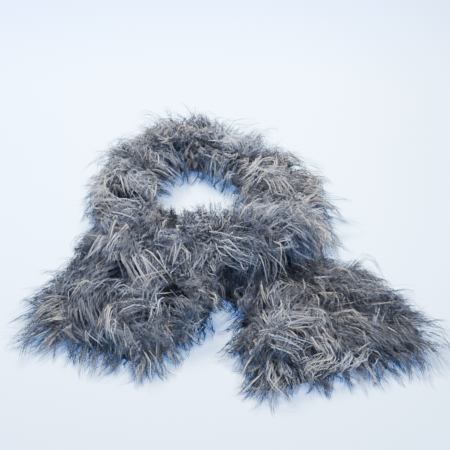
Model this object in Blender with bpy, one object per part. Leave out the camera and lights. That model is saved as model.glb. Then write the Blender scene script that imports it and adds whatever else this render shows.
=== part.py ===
"""Shaggy long-pile scarf, laid on a table in a crossed loop.

The scarf is one flat tube of long-pile cloth. Its path starts at the free end of the left tail, crosses over the
front, runs up the right side, round the back and down the left side, passes under the front and ends at the free
end of the right tail. Each stretch is one body with the depth of its pile. The pile's edge stands out as locks,
whose roots are fused into a narrow strip along the edge of the cloth.

Metres, +Z up. The origin is on the table, under the middle of the laid scarf.
"""

import math
import random
from collections import namedtuple

import bmesh
import bpy
from mathutils import Vector, noise

# Where the laid scarf's middle lies in the coordinates of the tables below
LAYOUT_MIDDLE = Vector((0.0103, -0.056, 0.0))

# Spaces between pieces
SEAM_GAP = 0.0003
LAYER_GAP = 0.0009

# How finely the bodies are divided
CELL_LENGTH = 0.0105
CROWN_STEPS = 16
PATH_STEPS_A_ROW = 40

# The section of the pile: its widest level, its fullness and its flat underside
EDGE_LEVEL = 0.36
CROWN_POWER = 0.80
UNDERSIDE = ((-0.485, 0.16), (-0.42, 0.0), (-0.21, 0.0), (0.0, 0.0), (0.21, 0.0), (0.42, 0.0), (0.485, 0.16))

# Where the front crosses, its underside slopes down to the table over this width
TENT_SLOPE = 0.050

# The lower layer has no tufts this far to both sides of the crossing, and they come back over the fade
COVERED_LENGTH = 0.085
COVERED_FADE = 0.040

# Tufts that the pile falls into, at full depth where the pile is this high
TUFT_DEPTH = 0.0060
TUFT_LENGTH = 0.055
TUFT_WIDTH = 0.038
TUFT_FULL_HEIGHT = 0.040
RIDGE_SHARE = 0.5
RIDGE_BEND = 1.6
LUMP_SHARE = 0.9
BEND_LAYER = 3.0
LUMP_LAYER = 8.0

# The strip that holds the roots of the locks
STRIP_DEPTH = 0.0025
STRIP_HEIGHT = 0.0050
STRIP_END_GAP = 0.0006

# The locks: their size, how they vary and hang, and the room that each keeps from its neighbours
LOCK_TIP_CLEARANCE = 0.0025
LOCK_WIDEST = 0.0105
LOCK_SHORTEST = 0.009
LOCK_SHORTENING = 0.85
LOCK_SWEEP_VARIATION_DEG = 6
LOCK_LENGTH_VARIATION = (0.72, 1.12)
LOCK_LIFTS = (-0.004, 0.004, 0.010, 0.018)
LOCK_SAG = 0.7
LOCK_ROOT_SAG = 0.2
LOCK_GAP = 0.0008
LOCK_ROOM = 0.34
LOCK_TIP_ROOM = 0.1
LOCK_ROOM_CHECKS = tuple(step / 10 for step in range(2, 11))
LOCK_NEIGHBOURS = 4
LOCK_SEED = 11

# The sections of a lock: where each lies, its half width as a share of the spacing, and its half height
LockSection = namedtuple("LockSection", "share half_width half_height")
LOCK_SECTIONS = (
    LockSection(0.34, 0.30, 0.0026),
    LockSection(0.70, 0.20, 0.0018),
    LockSection(1.00, 0.00, 0.0000),
)

# A row for each section of the pile along the path: its middle, its width and its height
Section = namedtuple("Section", "x y width height")
SECTIONS = (
    Section(-0.147, -0.222, 0.128, 0.016),
    Section(-0.136, -0.200, 0.158, 0.036),
    Section(-0.112, -0.160, 0.174, 0.043),
    Section(-0.080, -0.128, 0.192, 0.044),
    Section(-0.044, -0.099, 0.134, 0.044),
    Section(0.012, -0.076, 0.102, 0.044),
    Section(0.060, -0.047, 0.098, 0.047),
    Section(0.077, 0.003, 0.084, 0.050),
    Section(0.064, 0.054, 0.078, 0.051),
    Section(0.034, 0.096, 0.070, 0.051),
    Section(-0.004, 0.126, 0.070, 0.053),
    Section(-0.050, 0.140, 0.074, 0.060),
    Section(-0.092, 0.122, 0.074, 0.061),
    Section(-0.118, 0.082, 0.074, 0.054),
    Section(-0.126, 0.034, 0.074, 0.048),
    Section(-0.121, -0.014, 0.078, 0.040),
    Section(-0.095, -0.056, 0.084, 0.028),
    Section(-0.048, -0.084, 0.090, 0.026),
    Section(0.008, -0.102, 0.096, 0.026),
    Section(0.057, -0.125, 0.116, 0.032),
    Section(0.091, -0.164, 0.166, 0.041),
    Section(0.116, -0.208, 0.184, 0.041),
    Section(0.130, -0.238, 0.190, 0.035),
    Section(0.137, -0.257, 0.168, 0.016),
)
CROSSING_ROW = 17
FIRST_ROW_UNDER = 14
LAST_ROW_UNDER = 20

# The stretches that show, from one row of the table above to another
Stretch = namedtuple("Stretch", "first_row last_row")
STRETCHES = {
    "tail_left": Stretch(0, 3),
    "front": Stretch(3, 6),
    "side_right": Stretch(6, 9),
    "back": Stretch(9, 12),
    "side_left": Stretch(12, CROSSING_ROW),
    "tail_right": Stretch(CROSSING_ROW, len(SECTIONS) - 1),
}
UNDER_STRETCHES = ("side_left", "tail_right")

# The largest folds: soft troughs in the crown, each with its middle, heading, size and depth
Fold = namedtuple("Fold", "x y heading_deg length width depth")
FOLDS = (
    Fold(0.008, -0.060, -86, 0.048, 0.010, 0.015),
    Fold(0.070, 0.070, 35, 0.050, 0.011, 0.013),
    Fold(0.020, 0.150, 70, 0.030, 0.012, 0.010),
    Fold(-0.110, 0.112, 140, 0.045, 0.012, 0.014),
    Fold(-0.130, 0.020, 175, 0.040, 0.012, 0.011),
    Fold(-0.062, -0.110, -120, 0.055, 0.014, 0.010),
    Fold(-0.104, -0.172, -115, 0.055, 0.013, 0.011),
    Fold(-0.150, -0.190, -100, 0.030, 0.011, 0.008),
    Fold(0.112, -0.160, -42, 0.060, 0.012, 0.011),
    Fold(0.090, -0.225, -80, 0.050, 0.012, 0.009),
    Fold(0.165, -0.225, -55, 0.040, 0.011, 0.009),
    Fold(0.050, -0.200, -100, 0.045, 0.010, 0.008),
)

# The strips of locks. side is 1 on the left of the path and -1 on its right, and 0 for a free end.
# first and last are shares of the stretch, and spacing is the least distance between locks.
LockRow = namedtuple("LockRow", "stretch side first last length sweep_deg end_sweep_deg spacing")
LOCK_ROWS = {
    "locks_tail_left_outer": LockRow("tail_left", 1, 0.00, 1.00, 0.032, -38, -12, 0.0085),
    "locks_tail_left_end": LockRow("tail_left", 0, 0.00, 1.00, 0.046, -26, 26, 0.0085),
    "locks_tail_left_inner": LockRow("tail_left", -1, 0.00, 1.00, 0.032, -38, -4, 0.0085),
    "locks_front_neck": LockRow("front", 1, 0.25, 0.90, 0.018, 0, 0, 0.0140),
    "locks_front_low": LockRow("front", -1, 0.30, 1.00, 0.024, -10, 10, 0.0085),
    "locks_side_right_outer": LockRow("side_right", -1, 0.00, 1.00, 0.022, -20, 10, 0.0085),
    "locks_side_right_neck": LockRow("side_right", 1, 0.08, 1.00, 0.022, 0, 0, 0.0140),
    "locks_back_outer": LockRow("back", -1, 0.00, 1.00, 0.025, -10, 10, 0.0085),
    "locks_back_neck": LockRow("back", 1, 0.00, 1.00, 0.013, 0, 0, 0.0140),
    "locks_side_left_outer": LockRow("side_left", -1, 0.00, 0.52, 0.020, 0, 18, 0.0085),
    "locks_side_left_neck": LockRow("side_left", 1, 0.00, 0.40, 0.015, 0, 0, 0.0140),
    "locks_tail_right_outer": LockRow("tail_right", 1, 0.50, 1.00, 0.036, 14, 38, 0.0085),
    "locks_tail_right_end": LockRow("tail_right", 0, 0.00, 1.00, 0.032, -24, 16, 0.0085),
    "locks_tail_right_inner": LockRow("tail_right", -1, 0.44, 1.00, 0.028, 4, 34, 0.0085),
}

# Colour and finish of the pile's depth and of its locks
Finish = namedtuple("Finish", "colour roughness metallic")
PILE_FINISH = Finish((0.115, 0.120, 0.140, 1.0), 0.85, 0.0)
LOCK_FINISH = Finish((0.235, 0.235, 0.245, 1.0), 0.75, 0.0)


def smoothed(rows, at):
    """A value of a table's columns between two rows, on a curve that passes through each row."""
    index = min(int(at), len(rows) - 2)
    share = at - index
    before, here, there, after = (rows[min(max(index + step, 0), len(rows) - 1)] for step in (-1, 0, 1, 2))
    return [
        0.5 * (2 * b + (c - a) * share + (2 * a - 5 * b + 4 * c - d) * share**2 + (3 * b - a - 3 * c + d) * share**3)
        for a, b, c, d in zip(before, here, there, after)
    ]


class Path:
    """The scarf's middle line, with its size and direction at any distance from the first free end."""

    def __init__(self, rows):
        count = (len(rows) - 1) * PATH_STEPS_A_ROW
        self.samples = [smoothed(rows, step / PATH_STEPS_A_ROW) for step in range(count + 1)]
        self.distances = [0.0]
        for one, other in zip(self.samples, self.samples[1:]):
            self.distances.append(self.distances[-1] + math.dist(one[:2], other[:2]))
        self.directions = []
        for index in range(count + 1):
            behind, ahead = self.samples[max(index - 5, 0)], self.samples[min(index + 5, count)]
            self.directions.append(Vector((ahead[0] - behind[0], ahead[1] - behind[1], 0.0)).normalized())

    def row_distance(self, row):
        """How far along the path a row of the table lies."""
        return self.distances[row * PATH_STEPS_A_ROW]

    def at(self, distance):
        """The middle, the unit direction, the width and the height at a distance."""
        last = len(self.distances) - 2
        index = next((i for i in range(last + 1) if self.distances[i + 1] >= distance), last)
        one, other = self.samples[index], self.samples[index + 1]
        share = (distance - self.distances[index]) / (self.distances[index + 1] - self.distances[index])
        x, y, width, height = (a + (b - a) * share for a, b in zip(one, other))
        direction = self.directions[index].lerp(self.directions[index + 1], share).normalized()
        return Vector((x, y, 0.0)), direction, width, height


PATH = Path(SECTIONS)


def under_layer_samples():
    """Points along the stretch that the front lies on, with its half width and its height there."""
    first = PATH.row_distance(FIRST_ROW_UNDER)
    last = PATH.row_distance(LAST_ROW_UNDER)
    steps = 60
    samples = []
    for step in range(steps + 1):
        middle, _, width, height = PATH.at(first + (last - first) * step / steps)
        samples.append((middle.x, middle.y, 0.5 * width, height))
    return samples


UNDER_LAYER = under_layer_samples()


def soft_step(value):
    """A smooth step from 0 to 1."""
    value = min(max(value, 0.0), 1.0)
    return value * value * (3.0 - 2.0 * value)


def rest_level(x, y):
    """The height that a piece of the upper layer rests at: the table, or the layer below it."""
    level = 0.0
    for middle_x, middle_y, half_width, height in UNDER_LAYER:
        beyond = math.hypot(x - middle_x, y - middle_y) - half_width
        level = max(level, (height + LAYER_GAP) * soft_step(1.0 - beyond / TENT_SLOPE))
    return level


def fold_depth(x, y):
    """How far the folds sink the crown at a place."""
    depth = 0.0
    for fold in FOLDS:
        heading = math.radians(fold.heading_deg)
        along = (x - fold.x) * math.cos(heading) + (y - fold.y) * math.sin(heading)
        aside = (y - fold.y) * math.cos(heading) - (x - fold.x) * math.sin(heading)
        depth += fold.depth * math.exp(-((along / fold.length) ** 2) - (aside / fold.width) ** 2)
    return depth


def tuft_height(distance, aside):
    """How far the tufts raise or sink the crown: ridges that lie across the path, broken up along it."""
    bend = noise.noise(Vector((distance / TUFT_LENGTH, aside / TUFT_LENGTH, BEND_LAYER)))
    ridge = math.sin(2.0 * math.pi * (distance / TUFT_WIDTH + RIDGE_BEND * bend))
    lump = noise.noise(Vector((distance / TUFT_WIDTH, aside / TUFT_WIDTH, LUMP_LAYER)))
    return TUFT_DEPTH * (RIDGE_SHARE * ridge + LUMP_SHARE * lump)


def is_covered(distance):
    """1 where a stretch lies under the front, falling to 0 in the open."""
    crossing = PATH.row_distance(CROSSING_ROW)
    return 1.0 - soft_step((abs(distance - crossing) - COVERED_LENGTH) / COVERED_FADE)


def section_ring(stretch, distance, inset):
    """The points round one section of a stretch: over the crown from left to right, then back underneath."""
    middle, direction, width, height = PATH.at(distance)
    middle = middle + direction * inset
    left = Vector((-direction.y, direction.x, 0.0))
    is_under = stretch in UNDER_STRETCHES
    relief = 1.0 - is_covered(distance) if is_under else 1.0
    ring = []
    for step in range(CROWN_STEPS + 1):
        angle = math.pi * step / CROWN_STEPS
        across = math.copysign(abs(math.cos(angle)) ** CROWN_POWER, math.cos(angle))
        rise = max(math.sin(angle), 0.0) ** CROWN_POWER
        place = middle + left * (0.5 * width * across)
        fullness = min(height / TUFT_FULL_HEIGHT, 1.0) * rise * relief
        change = fullness * (tuft_height(distance, 0.5 * width * across) - fold_depth(place.x, place.y))
        level = 0.0 if is_under else rest_level(place.x, place.y)
        ring.append(place + Vector((0.0, 0.0, level + height * (EDGE_LEVEL + (1.0 - EDGE_LEVEL) * rise) + change)))
    for across, rise in UNDERSIDE:
        place = middle + left * (across * width)
        level = 0.0 if is_under else rest_level(place.x, place.y)
        ring.append(place + Vector((0.0, 0.0, level + height * rise)))
    return ring


def stretch_distances(stretch):
    """Where a stretch's sections lie along the path."""
    first = PATH.row_distance(STRETCHES[stretch].first_row)
    last = PATH.row_distance(STRETCHES[stretch].last_row)
    cells = round((last - first) / CELL_LENGTH)
    return [first + (last - first) * cell / cells for cell in range(cells + 1)]


def new_material(name, finish):
    """A Principled material."""
    material = bpy.data.materials.new(name)
    material.use_nodes = True
    shader = material.node_tree.nodes["Principled BSDF"]
    shader.inputs["Base Color"].default_value = finish.colour
    shader.inputs["Roughness"].default_value = finish.roughness
    shader.inputs["Metallic"].default_value = finish.metallic
    return material


def add_object(name, points, faces, material):
    """A closed mesh object whose origin is the scarf's."""
    mesh = bpy.data.meshes.new(name)
    mesh.from_pydata([point - LAYOUT_MIDDLE for point in points], [], faces)
    shape = bmesh.new()
    shape.from_mesh(mesh)
    bmesh.ops.recalc_face_normals(shape, faces=shape.faces)
    shape.to_mesh(mesh)
    shape.free()
    mesh.shade_smooth()
    mesh.set_sharp_from_angle(angle=math.radians(50))
    mesh.materials.append(material)
    part = bpy.data.objects.new(name, mesh)
    bpy.context.scene.collection.objects.link(part)
    return part


def build_stretch(stretch, material):
    """The body of one stretch, skinned over its sections and capped at both ends."""
    distances = stretch_distances(stretch)
    insets = [0.5 * SEAM_GAP] + [0.0] * (len(distances) - 2) + [-0.5 * SEAM_GAP]
    rings = [section_ring(stretch, distance, inset) for distance, inset in zip(distances, insets)]
    size = len(rings[0])
    points = [point for ring in rings for point in ring]
    faces = []
    for row in range(len(rings) - 1):
        for column in range(size):
            beside = (column + 1) % size
            here, there = row * size, (row + 1) * size
            faces.append((here + column, here + beside, there + beside, there + column))
    faces.append(tuple(range(size)))
    faces.append(tuple(range((len(rings) - 1) * size, len(rings) * size)))
    return add_object(stretch, points, faces, material)


def across_edge(line, index, outward):
    """The direction straight out from an edge at one of its points."""
    run = line[min(index + 1, len(line) - 1)][0] - line[max(index - 1, 0)][0]
    across = Vector((-run.y, run.x, 0.0)).normalized()
    return across if across.dot(outward) > 0 else -across


def edge_line(row):
    """Points along the edge that a strip of locks follows, each with its outward direction and rest level."""
    distances = stretch_distances(row.stretch)
    if row.side == 0:
        return end_line(row, distances)
    last_cell = len(distances) - 1
    kept = distances[round(row.first * last_cell) : round(row.last * last_cell) + 1]
    line = []
    for distance in kept:
        middle, direction, width, height = PATH.at(distance)
        outward = Vector((-direction.y, direction.x, 0.0)) * row.side
        edge = middle + outward * (0.5 * width)
        level = 0.0 if row.stretch in UNDER_STRETCHES else rest_level(edge.x, edge.y)
        line.append((edge + Vector((0.0, 0.0, level + EDGE_LEVEL * height)), outward, direction))
    for end, beside in ((line[0][0], line[1][0]), (line[-1][0], line[-2][0])):
        end += (beside - end).normalized() * STRIP_END_GAP
    return [
        (edge, across_edge(line, index, outward), direction) for index, (edge, outward, direction) in enumerate(line)
    ]


def end_line(row, distances):
    """The same along a free end of the scarf, from its left edge to its right."""
    is_start = row.stretch == "tail_left"
    middle, direction, width, height = PATH.at(distances[0] if is_start else distances[-1])
    outward = -direction if is_start else direction
    left = Vector((-direction.y, direction.x, 0.0))
    cells = round(width / CELL_LENGTH)
    half = 0.5 * width - STRIP_END_GAP
    return [
        (middle + left * half * (1.0 - 2.0 * cell / cells) + Vector((0.0, 0.0, EDGE_LEVEL * height)), outward, -left)
        for cell in range(cells + 1)
    ]


Lock = namedtuple("Lock", "root heading length spacing")


def lock_rings(lock, along, lift, rest):
    """The sections of one lock from its root: flat, with four corners, and narrowing to a point."""
    aside = Vector((-lock.heading.y, lock.heading.x, 0.0))
    if aside.dot(along) < 0:
        aside = -aside
    rings = []
    for share, fullness, half_height in LOCK_SECTIONS:
        half_width = fullness * lock.spacing
        place = lock.root + lock.heading * (lock.length * share)
        place.z += lift * share - (lift + lock.root.z * LOCK_ROOT_SAG) * share**3 * LOCK_SAG
        place.z = max(place.z, rest(place.x, place.y) + LOCK_TIP_CLEARANCE + half_height)
        corners = ((-1, -1), (1, -1), (1, 1), (-1, 1)) if half_width else ((0, 0),)
        rings.append([place + aside * (half_width * a) + Vector((0, 0, half_height * b)) for a, b in corners])
    return rings


def room_beside(lock, share):
    """The room that a lock takes to each side at a share of its length."""
    return LOCK_ROOM * lock.spacing * (1.0 + LOCK_TIP_ROOM - share)


def too_close(lock, other):
    """Whether two locks come nearer than their widths allow, seen from above."""
    for share in LOCK_ROOM_CHECKS:
        for other_share in LOCK_ROOM_CHECKS:
            one = lock.root + lock.heading * (lock.length * share)
            two = other.root + other.heading * (other.length * other_share)
            if (one - two).xy.length < room_beside(lock, share) + room_beside(other, other_share) + LOCK_GAP:
                return True
    return False


def new_lock(row, line, cell, root, spacing, dice):
    """A lock at a cell of the line, straight out but for the row's sweep."""
    share = (cell + 0.5) / (len(line) - 1)
    variation = dice.uniform(-LOCK_SWEEP_VARIATION_DEG, LOCK_SWEEP_VARIATION_DEG)
    sweep = math.radians(row.sweep_deg + (row.end_sweep_deg - row.sweep_deg) * share + variation)
    outward = (line[cell][1] + line[cell + 1][1]).normalized()
    along = (line[cell][2] + line[cell + 1][2]).normalized()
    heading = (outward * math.cos(sweep) + along * math.sin(sweep)).normalized()
    return Lock(root, heading, row.length * dice.uniform(*LOCK_LENGTH_VARIATION), spacing)


def build_locks(name, row, material):
    """A strip along an edge, with locks grown from its outer faces a spacing apart."""
    dice = random.Random(LOCK_SEED + sorted(LOCK_ROWS).index(name))
    line = edge_line(row)
    rest = (lambda x, y: 0.0) if row.stretch in UNDER_STRETCHES else rest_level
    points, faces = [], []
    half = Vector((0.0, 0.0, 0.5 * STRIP_HEIGHT))
    for edge, outward, _ in line:
        inner = edge + outward * SEAM_GAP
        outer = inner + outward * STRIP_DEPTH
        points += [inner - half, outer - half, outer + half, inner + half]
    bare_run = row.spacing
    locks = []
    for cell in range(len(line) - 1):
        here, there = 4 * cell, 4 * (cell + 1)
        for corner, next_corner in ((0, 1), (2, 3), (3, 0)):
            faces.append((here + corner, there + corner, there + next_corner, here + next_corner))
        root_face = [here + 1, there + 1, there + 2, here + 2]
        run = (line[cell + 1][0] - line[cell][0]).xy.length
        bare_run += run
        if bare_run < row.spacing or (cell in (0, len(line) - 2) and run < row.spacing):
            faces.append(tuple(root_face))
            continue
        root = sum((points[corner] for corner in root_face), Vector()) / 4
        lock = new_lock(row, line, cell, root, min(bare_run, LOCK_WIDEST), dice)
        while lock.length > LOCK_SHORTEST and any(too_close(lock, other) for other in locks[-LOCK_NEIGHBOURS:]):
            lock = lock._replace(length=LOCK_SHORTENING * lock.length)
        bare_run = 0.0
        locks.append(lock)
        below = root_face
        for ring in lock_rings(lock, line[cell][2], dice.choice(LOCK_LIFTS), rest):
            above = list(range(len(points), len(points) + len(ring)))
            points += ring
            for corner in range(4):
                beside = (corner + 1) % 4
                if len(ring) == 1:
                    faces.append((below[corner], below[beside], above[0]))
                else:
                    faces.append((below[corner], below[beside], above[beside], above[corner]))
            below = above
    faces.append((0, 1, 2, 3))
    last = 4 * (len(line) - 1)
    faces.append((last, last + 1, last + 2, last + 3))
    return add_object(name, points, faces, material)


def main():
    for leftover in list(bpy.data.objects):
        bpy.data.objects.remove(leftover)
    pile = new_material("pile", PILE_FINISH)
    lock = new_material("locks", LOCK_FINISH)
    for stretch in STRETCHES:
        build_stretch(stretch, pile)
    for name, row in LOCK_ROWS.items():
        build_locks(name, row, lock)


main()
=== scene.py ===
import math

import bpy
import numpy as np
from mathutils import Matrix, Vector, noise
from mathutils.bvhtree import BVHTree


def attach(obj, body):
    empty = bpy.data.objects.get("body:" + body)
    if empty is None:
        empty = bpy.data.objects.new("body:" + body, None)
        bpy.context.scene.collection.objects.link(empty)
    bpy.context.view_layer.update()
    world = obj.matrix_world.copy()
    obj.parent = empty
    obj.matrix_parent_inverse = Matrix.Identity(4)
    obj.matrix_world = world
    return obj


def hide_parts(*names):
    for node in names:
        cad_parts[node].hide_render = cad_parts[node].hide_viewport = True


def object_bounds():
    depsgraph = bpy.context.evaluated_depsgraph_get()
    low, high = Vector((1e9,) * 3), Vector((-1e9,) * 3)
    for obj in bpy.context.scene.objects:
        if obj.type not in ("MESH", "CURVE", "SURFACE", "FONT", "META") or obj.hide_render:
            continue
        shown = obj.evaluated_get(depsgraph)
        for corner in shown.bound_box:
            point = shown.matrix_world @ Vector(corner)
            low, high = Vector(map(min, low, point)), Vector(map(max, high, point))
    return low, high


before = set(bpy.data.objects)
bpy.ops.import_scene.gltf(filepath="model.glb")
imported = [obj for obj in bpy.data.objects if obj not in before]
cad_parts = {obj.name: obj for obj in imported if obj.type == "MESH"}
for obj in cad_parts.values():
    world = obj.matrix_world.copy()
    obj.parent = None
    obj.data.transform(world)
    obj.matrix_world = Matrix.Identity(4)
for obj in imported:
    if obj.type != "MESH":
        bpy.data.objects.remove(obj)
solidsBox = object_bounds()
bpy.ops.object.select_all(action="DESELECT")
dice = np.random.default_rng(41)
noise.seed_set(41)


# The scarf's path on the table, from the free end of the left tail to the free end of the right one

scarfPath = {
    "middle": (0.0103, -0.056),  # of the laid scarf, in the coordinates of the rows
    "rows": (  # x and y of the path, then the width and the height of the pile there
        (-0.147, -0.222, 0.128, 0.016),
        (-0.136, -0.200, 0.158, 0.036),
        (-0.112, -0.160, 0.174, 0.043),
        (-0.080, -0.128, 0.192, 0.044),
        (-0.044, -0.099, 0.134, 0.044),
        (0.012, -0.076, 0.102, 0.044),
        (0.060, -0.047, 0.098, 0.047),
        (0.077, 0.003, 0.084, 0.050),
        (0.064, 0.054, 0.078, 0.051),
        (0.034, 0.096, 0.070, 0.051),
        (-0.004, 0.126, 0.070, 0.053),
        (-0.050, 0.140, 0.074, 0.060),
        (-0.092, 0.122, 0.074, 0.061),
        (-0.118, 0.082, 0.074, 0.054),
        (-0.126, 0.034, 0.074, 0.048),
        (-0.121, -0.014, 0.078, 0.040),
        (-0.095, -0.056, 0.084, 0.028),
        (-0.048, -0.084, 0.090, 0.026),
        (0.008, -0.102, 0.096, 0.026),
        (0.057, -0.125, 0.116, 0.032),
        (0.091, -0.164, 0.166, 0.041),
        (0.116, -0.208, 0.184, 0.041),
        (0.130, -0.238, 0.190, 0.035),
        (0.137, -0.257, 0.168, 0.016),
    ),
    "stretches": {  # from one row to another
        "tail_left": (0, 3),
        "front": (3, 6),
        "side_right": (6, 9),
        "back": (9, 12),
        "side_left": (12, 17),
        "tail_right": (17, 23),
    },
    "under": ("side_left", "tail_right"),  # what the front lies on
    "stepsPerRow": 40,
}


def smoothRows(rows, steps):
    # a curve through every row of a table
    table = np.array(rows)
    table = np.vstack([table[:1], table, table[-1:]])
    share = np.linspace(0.0, 1.0, steps, endpoint=False)[:, None]
    spans = []
    for a, b, c, d in zip(table, table[1:], table[2:], table[3:]):
        bend = 2 * a - 5 * b + 4 * c - d
        twist = 3 * b - a - 3 * c + d
        spans.append(0.5 * (2 * b + (c - a) * share + bend * share**2 + twist * share**3))
    return np.vstack(spans + [table[-1:]])


def between(pair, shares):
    return pair[0] + (pair[1] - pair[0]) * shares


def unit(vectors):
    return vectors / np.maximum(np.linalg.norm(vectors, axis=-1, keepdims=True), 1e-9)


def makePath():
    samples = smoothRows(scarfPath["rows"], scarfPath["stepsPerRow"])
    place = samples[:, :2] - np.array(scarfPath["middle"])
    along = unit(np.gradient(place, axis=0))
    steps = np.linalg.norm(np.diff(place, axis=0), axis=1)
    return {
        "place": place,
        "along": along,
        "left": np.stack([-along[:, 1], along[:, 0]], axis=1),
        "width": samples[:, 2],
        "height": samples[:, 3],
        "distance": np.concatenate([[0.0], np.cumsum(steps)]),
    }


pathLine = makePath()


def pathSpan(stretch):
    # the path's samples that a stretch runs over
    firstRow, lastRow = scarfPath["stretches"][stretch]
    return firstRow * scarfPath["stepsPerRow"], lastRow * scarfPath["stepsPerRow"]


def onPath(stretch, shares):
    # the path at shares of a stretch's length: place, along, left, width and height
    first, last = pathSpan(stretch)
    distance = pathLine["distance"]
    wanted = distance[first] + (distance[last] - distance[first]) * np.asarray(shares)
    found = {}
    for key in ("place", "along", "left"):
        flat = [np.interp(wanted, distance, pathLine[key][:, axis]) for axis in (0, 1)]
        found[key] = np.stack(flat, axis=-1)
    for key in ("width", "height"):
        found[key] = np.interp(wanted, distance, pathLine[key])
    return found


def stretchLength(stretch):
    first, last = pathSpan(stretch)
    return pathLine["distance"][last] - pathLine["distance"][first]


# The space that the solids give the pile, read by rays straight up and down

heightCell = 0.0025
heightMargin = 4  # cells past the solids on every side


class HeightGrid:
    def __init__(self, nodeNames):
        points, faces = [], []
        for name in nodeNames:
            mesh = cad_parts[name].data
            start = len(points)
            points += [vertex.co.copy() for vertex in mesh.vertices]
            faces += [[start + index for index in face.vertices] for face in mesh.polygons]
        tree = BVHTree.FromPolygons(points, faces)
        low, high = solidsBox
        self.corner = np.array(low[:2]) - heightMargin * heightCell
        self.size = np.ceil((np.array(high[:2]) - self.corner) / heightCell).astype(int) + heightMargin
        self.top = np.zeros(self.size)
        self.under = np.zeros(self.size)
        up, down = Vector((0, 0, 1)), Vector((0, 0, -1))
        for column in range(self.size[0]):
            for row in range(self.size[1]):
                x = self.corner[0] + column * heightCell
                y = self.corner[1] + row * heightCell
                hit = tree.ray_cast(Vector((x, y, 1.0)), down)[0]
                if hit is not None:
                    self.top[column, row] = hit.z
                    self.under[column, row] = tree.ray_cast(Vector((x, y, -1.0)), up)[0].z

    def read(self, values, places):
        # values between the grid's points, kept short of its last row and column
        spot = (places[..., :2] - self.corner) / heightCell
        spot = np.clip(spot, 0, self.size - 1.001)
        cell = spot.astype(int)
        share = spot - cell
        x, y = cell[..., 0], cell[..., 1]
        near = values[x, y] * (1 - share[..., 0]) + values[x + 1, y] * share[..., 0]
        far = values[x, y + 1] * (1 - share[..., 0]) + values[x + 1, y + 1] * share[..., 0]
        return near * (1 - share[..., 1]) + far * share[..., 1]


upperNames = [name for name in scarfPath["stretches"] if name not in scarfPath["under"]]
upperGrid = HeightGrid(upperNames)
lowerGrid = HeightGrid(scarfPath["under"])
print("stage 1: path and heights read")


def gridOf(stretch):
    return lowerGrid if stretch in scarfPath["under"] else upperGrid


def makeOutsideGrid():
    # how far outside the solids each place of the grid lies, seen from above
    covered = (upperGrid.top > 0) | (lowerGrid.top > 0)
    rim = covered.copy()
    rim[1:-1, 1:-1] &= ~(covered[2:, 1:-1] & covered[:-2, 1:-1] & covered[1:-1, 2:] & covered[1:-1, :-2])
    spots = np.argwhere(rim)
    outside = np.zeros(covered.shape)
    rows = np.arange(covered.shape[1])
    for column in range(covered.shape[0]):
        here = np.stack([np.full(len(rows), column), rows], axis=1)
        gaps = spots[None] - here[:, None]
        outside[column] = np.sqrt((gaps**2).sum(axis=-1).min(axis=1)) * heightCell
    return np.where(covered, 0.0, outside)


outsideGrid = makeOutsideGrid()


# Shader maths

class Wire:
    # a socket that adds nodes when it is reckoned with
    def __init__(self, tree, socket):
        self.tree = tree
        self.socket = socket

    def node(self, kind, settings=None, **values):
        made = self.tree.nodes.new(kind)
        for key, value in (settings or {}).items():
            if key == "stops":
                ramp = made.color_ramp
                while len(ramp.elements) < len(value):
                    ramp.elements.new(1.0)
                for element, (at, colour) in zip(ramp.elements, value):
                    element.position = at
                    element.color = (*colour, 1.0)
            else:
                setattr(made, key, value)
        for key, value in values.items():
            socket = made.inputs[int(key[1:])] if key[1:].isdigit() else made.inputs[key.replace("_", " ")]
            if isinstance(value, Wire):
                self.tree.links.new(value.socket, socket)
            else:
                socket.default_value = value
        return made

    def out(self, made, name=0):
        return Wire(self.tree, made.outputs[name])

    def maths(self, operation, one, other):
        return self.out(self.node("ShaderNodeMath", {"operation": operation}, i0=one, i1=other))

    def __add__(self, other):
        return self.maths("ADD", self, other)

    __radd__ = __add__

    def __mul__(self, other):
        return self.maths("MULTIPLY", self, other)

    __rmul__ = __mul__

    def mix(self, one, other):
        # from one colour to the other by this factor
        made = self.node("ShaderNodeMix", {"data_type": "RGBA"}, i0=self, i6=one, i7=other)
        return self.out(made, 2)

    def step(self, start, end):
        # a smooth step from 0 to 1
        settings = {"interpolation_type": "SMOOTHSTEP"}
        return self.out(self.node("ShaderNodeMapRange", settings, i0=self, i1=start, i2=end))


def newMaterial(name, roughness, specular, sheen=0.0):
    material = bpy.data.materials.new(name)
    material.use_nodes = True
    shader = material.node_tree.nodes["Principled BSDF"]
    shader.inputs["Roughness"].default_value = roughness
    shader.inputs["Specular IOR Level"].default_value = specular
    shader.inputs["Sheen Weight"].default_value = sheen
    return material, shader, Wire(material.node_tree, None)


# The ground cloth: a flat tube of dark knit, which the pile grows from

groundCloth = {
    "widthShare": 0.92,  # of the pile's width
    "level": 0.54,  # how high in the pile its crown lies
    "edgeLevel": 0.20,
    "archPower": 2.2,
    "sagPower": 6,
    "bottomGap": 0.0015,
    "seamGap": 0.0004,
    "wall": 0.0016,
    "cell": 0.0055,
    "topCells": 26,
    "bottomCells": 12,
    "wrinkle": 0.0012,
    "wrinkleSize": 0.014,
    "ribPitch": 0.0042,
    "ribWave": 6.3,  # turns the pitch into the wave's scale
    "fleckScale": 420.0,
    "colourRibs": 0.45,  # the rest of the colour is flecks
    "bumpRibs": 0.7,
    "bumpStrength": 0.6,
    "bumpDepth": 0.0012,
    "dark": (0.010, 0.011, 0.015),
    "light": (0.040, 0.043, 0.053),
    "roughness": 0.9,
    "specular": 0.15,
    "sheen": 0.1,
}


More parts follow.
